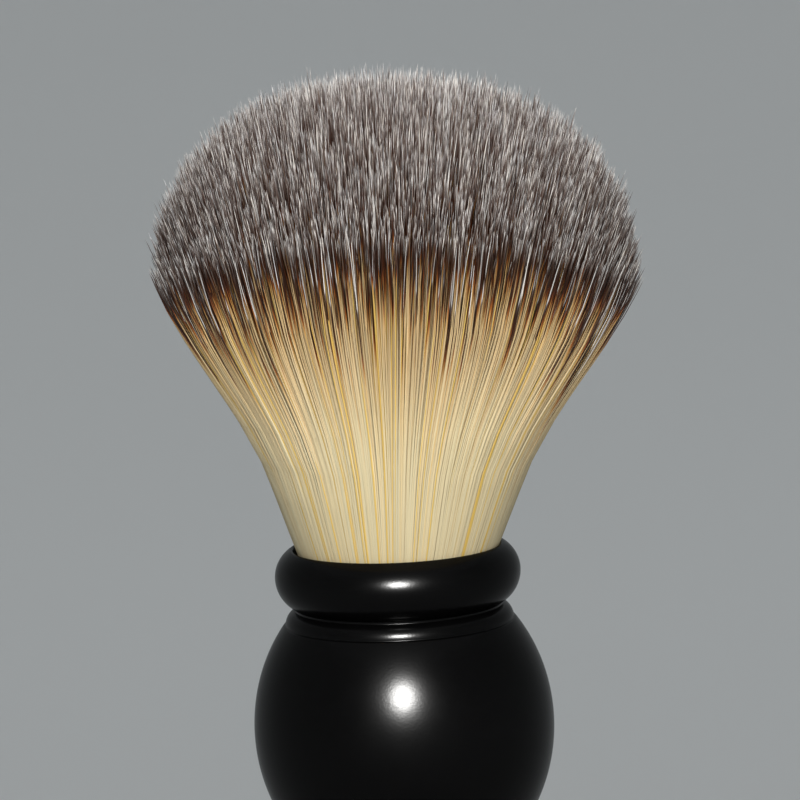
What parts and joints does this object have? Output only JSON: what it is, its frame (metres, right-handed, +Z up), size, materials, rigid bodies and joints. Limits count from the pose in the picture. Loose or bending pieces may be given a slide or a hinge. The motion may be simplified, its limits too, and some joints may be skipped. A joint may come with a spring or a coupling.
{
  "type": "shaving brush",
  "caption": "Shaving brush: a turned black handle with a bead, groove and ball on a flared foot, holding a domed fan knot of cream, brown and grey bristles that bends and springs back.",
  "frame": {"origin": "centre of the foot's underside, where the brush stands", "axes": "+Z up the brush's axis from the foot to the crown of the knot; +X to the right seen from the front, +Y away from the viewer"},
  "size_m": [0.0544, 0.0544, 0.1086],
  "materials": {
    "handle_lacquer": "satin black lacquer over a turned body",
    "weight_steel": "turned steel",
    "cap_plastic": "moulded black plastic",
    "pad_rubber": "matt black rubber",
    "adhesive": "cured epoxy",
    "plug_resin": "cast amber resin",
    "binding_thread": "waxed cotton thread",
    "bristle_root": "cream bristles",
    "bristle_lower": "cream bristles with some yellow ones",
    "bristle_upper": "bristles banded cream, amber and dark brown, with pale grey tips"
  },
  "bodies": {
    "handle": {"handle_body": "handle_lacquer", "balance_weight": "weight_steel", "base_cap": "cap_plastic", "foot_pad": "pad_rubber", "socket_adhesive": "adhesive", "knot_plug": "plug_resin", "knot_binding": "binding_thread", "bristle_root": "bristle_root"},
    "knot_lower": {"bristle_lower": "bristle_lower"},
    "knot_upper": {"bristle_upper": "bristle_upper"}
  },
  "joints": [
    {"name": "knot_bend_sideways", "type": "hinge", "parent": "handle", "child": "knot_lower", "pos_m": [0, 0, 0.055], "axis": [0, 1, 0], "range_deg": [-30, 30], "stiffness_Nm_per_rad": 0.12},
    {"name": "knot_bend_forwards", "type": "hinge", "parent": "knot_lower", "child": "knot_upper", "pos_m": [0, 0, 0.055], "axis": [1, 0, 0], "range_deg": [-30, 30], "stiffness_Nm_per_rad": 0.12}
  ]
}
